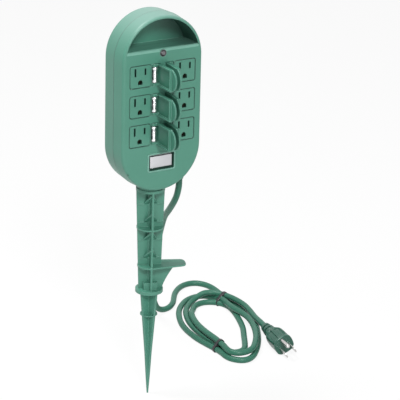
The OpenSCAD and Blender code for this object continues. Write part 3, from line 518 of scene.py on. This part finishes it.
cordFacts = {"diameter": 7.6, "length": 1.92, "exit": (42.5, 8, 262)}
cordRoute = {
    "lead": [
        (42.5, 8, 263), (42.5, 8, 256), (42.5, 9, 249), (42.5, 13, 238), (43.5, 22, 226), (47, 38, 211),
        (53, 58, 195), (63, 82, 172), (74, 108, 144), (85, 134, 114), (96, 158, 83), (105, 174, 54),
        (112, 184, 33), (117.5, 189.5, 20), (123, 193, 11), (129.5, 195.5, 6), (137, 197.5, 3.8),
        (144, 199.5, 3.8), (151, 204.5, 3.8), (158.5, 212.5, 3.8), (166, 223.5, 3.8), (173, 233.5, 3.8),
        (181, 242.5, 3.8), (190, 250, 3.8), (200, 255, 3.8), (209.5, 256, 3.8), (218, 253, 3.8),
        (224, 246, 3.8), (227.5, 236.5, 3.8), (228.5, 226, 3.8), (228, 215, 3.8), (227, 203, 3.8),
        (226.5, 190, 3.8), (227, 176, 3.8),
    ],
    "outerTurn": [
        (228, 151.5, 3.8), (225.5, 129.5, 3.8), (218.5, 106.5, 3.8), (207.5, 83.5, 3.8), (194.5, 61, 3.8),
        (181.5, 42.5, 3.8), (170, 29, 3.8), (162.5, 22, 3.8), (155.5, 17.5, 3.8), (148.5, 16, 3.8),
        (142, 18, 3.8), (136.5, 23.5, 3.8), (133, 30.5, 3.8), (132, 38.5, 3.8), (132.5, 48.5, 3.8),
        (132, 60.5, 3.8), (129.5, 78.5, 3.8), (127.5, 96.5, 3.8), (127.5, 111.5, 3.8), (129, 128.5, 3.8),
        (133, 146.5, 3.8), (140.5, 165.5, 3.8), (151, 184, 3.8), (164.5, 199.5, 3.8), (179, 210, 3.8),
        (193, 213.5, 3.8), (204, 211.5, 3.8), (211, 205, 3.8), (214.5, 196, 5), (215.5, 186, 8),
        (209, 149, 11.4),
    ],
    "innerTurn": [
        (210, 131.5, 11.4), (210, 114, 11.4), (206, 95.5, 11.4), (199, 77.5, 11.4), (189, 58, 11.4),
        (177.5, 41.5, 11.4), (166, 28.5, 11.4), (156, 23, 11.4), (149, 22, 11.4), (143, 23, 11.4),
        (138.5, 26, 11.4), (135, 32.5, 11.4), (135, 40.5, 11.4), (137, 51, 11.4), (137.5, 58, 11.4),
        (138.6, 74, 11.4), (138.6, 90, 11.4), (139.4, 106, 11.4), (141.8, 123.5, 11.4), (146.5, 141, 11.4),
        (151.5, 153, 11.2), (158, 164, 8.2), (167, 176.5, 4.2), (177.5, 188, 3.8), (189.5, 192.5, 3.8),
        (201, 190, 3.8),
    ],
    "lastTurn": [
        (210, 182, 3.8), (215, 168, 3.8), (212.5, 148.5, 3.8), (206, 126.5, 3.8), (196, 100.5, 3.8),
        (183, 76.5, 3.8), (173, 58.5, 3.8), (166, 47.5, 3.8), (160, 42, 3.8), (153, 40, 3.8),
        (146.5, 41.5, 3.8), (142, 46.5, 3.8), (140, 54.5, 3.8), (140, 65.5, 3.8), (139.5, 78.5, 3.8),
        (138.5, 91.5, 3.8), (138.5, 107.5, 3.8), (140, 126.5, 3.8), (144, 145.5, 3.8), (151, 165, 3.8),
        (160, 181.5, 3.8), (171.5, 194.5, 3.8), (182, 202, 5), (191.5, 204.5, 8.4), (201, 204, 11.4),
        (211, 200, 11.4), (219, 190, 11.4), (223.5, 178, 11.4),
    ],
    "tail": [
        (226, 164, 11.4), (226.5, 147, 11.4), (223, 127, 11.4), (218, 106.5, 11.4), (214.5, 90, 12.7),
        (212.5, 80, 13.2), (211, 71, 13.2),
    ],
}
route = [point for part in cordRoute.values() for point in part]
cord = tube("powerCord", route, cordFacts["diameter"], "head", "cord_vinyl", sides=5, detail=5,
            replaced=("cord_lead", "cord_hank", "cord_tail"))
print("stage: cord")

# The plug's neck is turned, its body is a stack of rings from the round shoulder to the squarer front
plug = {
    "start": (211, 71, 13.2),
    "heading": -98.8,
    "roll": 27,
    # height, radius
    "neck": [
        (0, 0), (0, 4.8), (0.6, 6.0), (4.6, 6.5), (5.2, 6.0), (5.4, 4.3), (8.8, 4.4), (9, 6.6), (9.6, 7.3),
        (13.2, 7.7), (13.8, 7.2), (14, 5.2), (17, 5.4), (17.2, 7.6), (17.8, 8.2), (21, 8.4), (22, 7.8),
    ],
    "length": 58,
    "bladeAt": 4.2,
    "spread": 12.7,
    "blade": (6.35, 1.5, 17.5),  # width, thickness, length
    "pinDrop": 11.9,
    "pin": (2.4, 21),  # radius, length
    "sunk": 2,
    "tipCorner": 1.2,
}
plugPlace = (
    Matrix.Translation(Vector(plug["start"]) * mm)
    @ Matrix.Rotation(math.radians(plug["heading"]), 4, "Z")
    @ Matrix.Rotation(math.radians(plug["roll"]), 4, "X")
    @ Matrix.Rotation(math.radians(90), 4, "Y")
)


def plugNeck():
    shape = turned([(r, z) for z, r in plug["neck"]], 40)
    bmesh.ops.transform(shape, matrix=plugPlace, verts=shape.verts)
    return shape


plugShape = {
    "sides": 64,
    "power": 4,
    "mostSwell": 1.16,
    # height, half the width across the blades, half the other way, how square
    "rings": [
        (19, 7.0, 7.0, 0.0), (22, 8.2, 8.2, 0.1), (26, 10.4, 9.8, 0.35), (30, 11.6, 10.6, 0.6),
        (34, 12.0, 10.9, 0.75), (40, 12.1, 11.0, 0.8), (48, 12.1, 11.0, 0.8), (53.6, 12.1, 11.0, 0.8),
        (54.2, 12.3, 11.3, 0.75), (55, 12.5, 11.6, 0.7), (57.4, 12.5, 11.6, 0.7), (58, 12.0, 11.1, 0.7),
    ],
    # sunk panels: their ends, depth and lip, and the direction and half angle of each
    "panels": {"from": 27, "to": 53.6, "depth": 2.0, "lip": 0.7,
               "aims": [(152, 20), (208, 20), (28, 20), (-28, 20)]},
}


# A circle's point pulled towards a rounded rectangle
def squared(look, co, half, depth, square):
    angle = math.atan2(co.y, co.x)
    power = look["power"]
    reach = (abs(math.cos(angle)) ** power + abs(math.sin(angle)) ** power) ** (-1 / power)
    swell = 1 + square * (min(reach, look["mostSwell"]) - 1)
    return Vector((math.cos(angle) * depth * swell, math.sin(angle) * half * swell, co.z / mm)) * mm


# Sinks the faces whose middles lie within halfAngle of a direction round the plug
def sinkPanel(shape, panels, direction, halfAngle):
    chosen = []
    for face in shape.faces:
        middle = face.calc_center_median() / mm
        turn = (math.atan2(middle.y, middle.x) - math.radians(direction) + math.pi) % (2 * math.pi) - math.pi
        if panels["from"] < middle.z < panels["to"] and abs(turn) < math.radians(halfAngle):
            chosen.append(face)
    bmesh.ops.inset_region(shape, faces=chosen, thickness=panels["lip"] * mm, depth=-panels["depth"] * mm,
                           use_even_offset=True)


def plugBody(look):
    shape = bmesh.new()
    ring = bmesh.ops.create_circle(shape, segments=look["sides"], radius=mm)["verts"]
    edges = touching(ring, "link_edges")
    for i, (height, half, depth, square) in enumerate(look["rings"]):
        if i:
            made = bmesh.ops.extrude_edge_only(shape, edges=edges)["geom"]
            ring = [g for g in made if isinstance(g, bmesh.types.BMVert)]
            edges = [g for g in made if isinstance(g, bmesh.types.BMEdge)]
        for v in ring:
            v.co.z = height * mm
            v.co = squared(look, v.co, half, depth, square)
    bmesh.ops.holes_fill(shape, edges=shape.edges, sides=0)
    bmesh.ops.recalc_face_normals(shape, faces=shape.faces)
    for direction, halfAngle in look["panels"]["aims"]:
        sinkPanel(shape, look["panels"], direction, halfAngle)
    bmesh.ops.transform(shape, matrix=plugPlace, verts=shape.verts)
    return shape


neckPiece = addMesh("plugNeck", plugNeck(), "head", "cord_vinyl", plugGreen)
bodyPiece = addMesh("plugBody", plugBody(plugShape), "head", "cord_vinyl", plugGreen, ("plug_body",), 40)


# Two flat blades, the corners of their tips rounded
def plugBlades():
    shape = bmesh.new()
    width, thick, length = plug["blade"]
    for side in (-1, 1):
        y = side * plug["spread"] / 2
        low = (plug["bladeAt"] - width / 2, y - thick / 2, plug["length"] - plug["sunk"])
        high = (plug["bladeAt"] + width / 2, y + thick / 2, plug["length"] + length)
        addSlab(shape, low, high)
        tip = (high[2] - 0.1) * mm
        corners = [e for e in shape.edges if level(e, 0) and min(v.co.z for v in e.verts) > tip
                   and abs(e.verts[0].co.y / mm - y) < thick]
        bevelEdges(shape, corners, plug["tipCorner"])
    bmesh.ops.transform(shape, matrix=plugPlace, verts=shape.verts)
    return shape


# The round ground pin with its domed tip
def plugPin():
    radius, length = plug["pin"]
    tip = [(radius * math.sin(math.radians(a)), length - radius + radius * math.cos(math.radians(a)))
           for a in range(0, 91, 10)]
    shape = turned([*tip, (radius, -plug["sunk"]), (0, -plug["sunk"])], 32)
    foot = Vector((plug["bladeAt"] - plug["pinDrop"], 0, plug["length"]))
    bmesh.ops.translate(shape, vec=foot * mm, verts=shape.verts)
    bmesh.ops.transform(shape, matrix=plugPlace, verts=shape.verts)
    return shape


bladePiece = addMesh("plugBlades", plugBlades(), "head", "nickel_blades", replaced=("plug_blades",))
pinPiece = addMesh("plugGroundPin", plugPin(), "head", "nickel_blades", replaced=("plug_ground_pin",))
print("stage: plug")


# The corners of a CAD node's box, in millimetres
def boxOf(name):
    made = frame["nodes"][name]
    corners = [made.matrix_world @ Vector(c) / mm for c in made.bound_box]
    return [Vector(pick(c[k] for c in corners) for k in range(3)) for pick in (min, max)]


spring = {"wire": 1.0, "turns": 16, "half": 8.7, "end": 4.1, "waist": 3.0, "middle": 3.6, "flare": 1.5,
          "perTurn": 12, "inward": 0.8, "forward": 0.1, "collar": 3.0, "collarRim": 0.7}


# Its coils are wide at the ends, narrow at two waists and wider again in the middle
def springRadius(look, part):
    away = abs(part)
    if away > 0.5:
        return look["waist"] + (look["end"] - look["waist"]) * (away * 2 - 1) ** look["flare"]
    return look["middle"] - (look["middle"] - look["waist"]) * (away * 2) ** 2


# The wound wire and the two collars that hold its ends
def coverSpring(name, look):
    low, high = boxOf(name)
    middle = (low + high) / 2
    middle.x -= math.copysign(look["inward"], middle.x)
    middle.y = low.y + (high.x - low.x) / 2 - look["forward"]
    steps = look["turns"] * look["perTurn"]
    points = []
    for i in range(steps + 1):
        part = 2 * i / steps - 1
        radius = springRadius(look, part) - look["wire"] / 2
        angle = 2 * math.pi * i / look["perTurn"]
        out = Vector((radius * math.cos(angle), radius * math.sin(angle), part * look["half"]))
        points.append(middle + out)
    tube(name.replace("lid_spring", "coverSpring"), points, look["wire"], "head", "spring_steel",
         sides=2, detail=2, replaced=(name,))
    shape = bmesh.new()
    for end in (-1, 1):
        inner, outer = (look["half"] - look["collar"]) * end, look["half"] * end
        made = bmesh.ops.create_cone(shape, cap_ends=True, segments=32, radius1=look["end"] * mm,
                                     radius2=look["end"] * mm, depth=look["collar"] * mm)["verts"]
        rims = [e for e in touching(made, "link_edges") if level(e, 2)]
        bmesh.ops.translate(shape, vec=(middle + Vector((0, 0, (inner + outer) / 2))) * mm, verts=made)
        bevelEdges(shape, rims, look["collarRim"])
    addMesh(name.replace("lid_spring", "springCollars"), shape, "head", "spring_steel")


for number in range(1, 7):
    coverSpring(f"lid_spring_{number}", spring)


# The panel that is pressed, in front of the button's own carrier
buttonPanel = {"width": 28.4, "height": 13.6, "proud": 3.5, "thick": 3.4, "corner": 0.9, "rim": 0.45}


def makePanel(look):
    low, high = boxOf("button_cap")
    middle = (low.z + high.z) / 2
    shape = bmesh.new()
    addSlab(shape, (-look["width"] / 2, low.y - look["proud"], middle - look["height"] / 2),
            (look["width"] / 2, low.y - look["proud"] + look["thick"], middle + look["height"] / 2),
            look["corner"], look["rim"])
    return addMesh("buttonPanel", shape, "button", "silver_panel")


makePanel(buttonPanel)

# Each tie: its place along the strands, their direction, and where each strand crosses it
cordTies = {
    "band": 4.0,
    "over": 0.85,
    "ties": [
        {"run": (0, 1, 0),
         "strands": [(210, 183, 3.8), (215.6, 185, 8), (220.6, 186, 11.4), (226.6, 186, 3.8)]},
        {"run": (0.05, 1, 0),
         "strands": [(132, 60.5, 3.8), (140, 60.5, 3.8), (138, 60, 11.4)]},
    ],
}


# A band drawn tight round the strands
def makeTies(look):
    shape = bmesh.new()
    for tie in look["ties"]:
        run = Vector(tie["run"]).normalized()
        turn = run.to_track_quat("Z", "Y").to_matrix().to_4x4()
        radius = (cordFacts["diameter"] / 2 + look["over"]) * mm
        wrapped = []
        for strand in tie["strands"]:
            place = Matrix.Translation(Vector(strand) * mm) @ turn
            made = bmesh.ops.create_cone(shape, segments=28, radius1=radius, radius2=radius,
                                         depth=look["band"] * mm, matrix=place)
            wrapped += made["verts"]
        bmesh.ops.delete(shape, geom=touching(wrapped, "link_faces"), context="FACES_ONLY")
        hull = bmesh.ops.convex_hull(shape, input=wrapped)
        inside = [v for v in hull["geom_interior"] if isinstance(v, bmesh.types.BMVert)]
        bmesh.ops.delete(shape, geom=inside, context="VERTS")
    bmesh.ops.delete(shape, geom=[e for e in shape.edges if not e.link_faces], context="EDGES")
    for vertex in shape.verts:
        vertex.co.z = max(vertex.co.z, 0)
    bmesh.ops.recalc_face_normals(shape, faces=shape.faces)
    return addMesh("cordBands", shape, "head", "tie_vinyl", replaced=("cord_ties",))


makeTies(cordTies)
print("stage: small pieces")

# CAD nodes that differ from the head's green, by the start of their names
nodeFinish = {"outlet_face": faceGreen, "lid_": coverShadedGreen, "post": stakeGreen, "spike": stakeGreen}
for entry in frame["record"]["subparts"]:
    name, slotName = entry["node"], entry["material_slot"]
    finish = finishes[slotName]
    for start, special in nodeFinish.items():
        if slotName == "green_plastic" and name.startswith(start):
            finish = special
    mesh = frame["nodes"][name].data
    mesh.materials.clear()
    mesh.materials.append(finish)
print("stage: finishes")


studio = {
    "floor": 6.0,
    "ambient": 0.26,
    "paper": {"colour": (0.86, 0.86, 0.86), "rough": 0.9, "glow": 0.9},
    # name, place, size, watts, what it points at
    "lamps": [
        ("keyLamp", (-0.6, -1.7, 1.75), 0.45, 36, (0, 0, 0.33)),
        ("topLamp", (-0.5, 0.35, 1.9), 0.5, 27, (0.05, 0, 0.33)),
        ("frontLamp", (-0.3, -2.3, 0.5), 1.2, 10, (0.05, 0, 0.25)),
    ],
}


def makeStudio(look):
    shape = bmesh.new()
    bmesh.ops.create_grid(shape, x_segments=1, y_segments=1, size=look["floor"])
    mesh = bpy.data.meshes.new("studioFloor")
    shape.to_mesh(mesh)
    shape.free()
    floor = bpy.data.objects.new("studioFloor", mesh)
    scene.collection.objects.link(floor)
    paper = Finish("paleFloor", Base_Color=look["paper"]["colour"], Roughness=look["paper"]["rough"])
    glow = paper.node("ShaderNodeEmission", {}, {"Color": (1, 1, 1), "Strength": 1.0})
    lit = Signal(paper, paper.shader.outputs[0])
    share = paper.seen() * look["paper"]["glow"]
    shown = paper.node("ShaderNodeMixShader", {}, {0: share, 1: lit, 2: glow})
    paper.feed(paper.tree.nodes["Material Output"].inputs["Surface"], shown)
    mesh.materials.append(paper.material)

    world = bpy.data.worlds.new("studioWorld")
    scene.world = world
    world.use_nodes = True
    air = Graph(world.node_tree)
    background = world.node_tree.nodes["Background"]
    grey = look["ambient"]
    air.feed(background.inputs["Color"], air.mix(air.seen(), (grey, grey, grey), (1.0, 1.0, 1.0)))
    background.inputs["Strength"].default_value = 1.0

    for name, place, size, watts, target in look["lamps"]:
        lamp = bpy.data.lights.new(name, "AREA")
        lamp.energy = watts
        lamp.size = size
        stand = bpy.data.objects.new(name, lamp)
        stand.location = place
        stand.rotation_euler = (Vector(target) - Vector(place)).to_track_quat("-Z", "Y").to_euler()
        scene.collection.objects.link(stand)


makeStudio(studio)
scene.view_settings.view_transform = "Standard"
print("stage: studio")
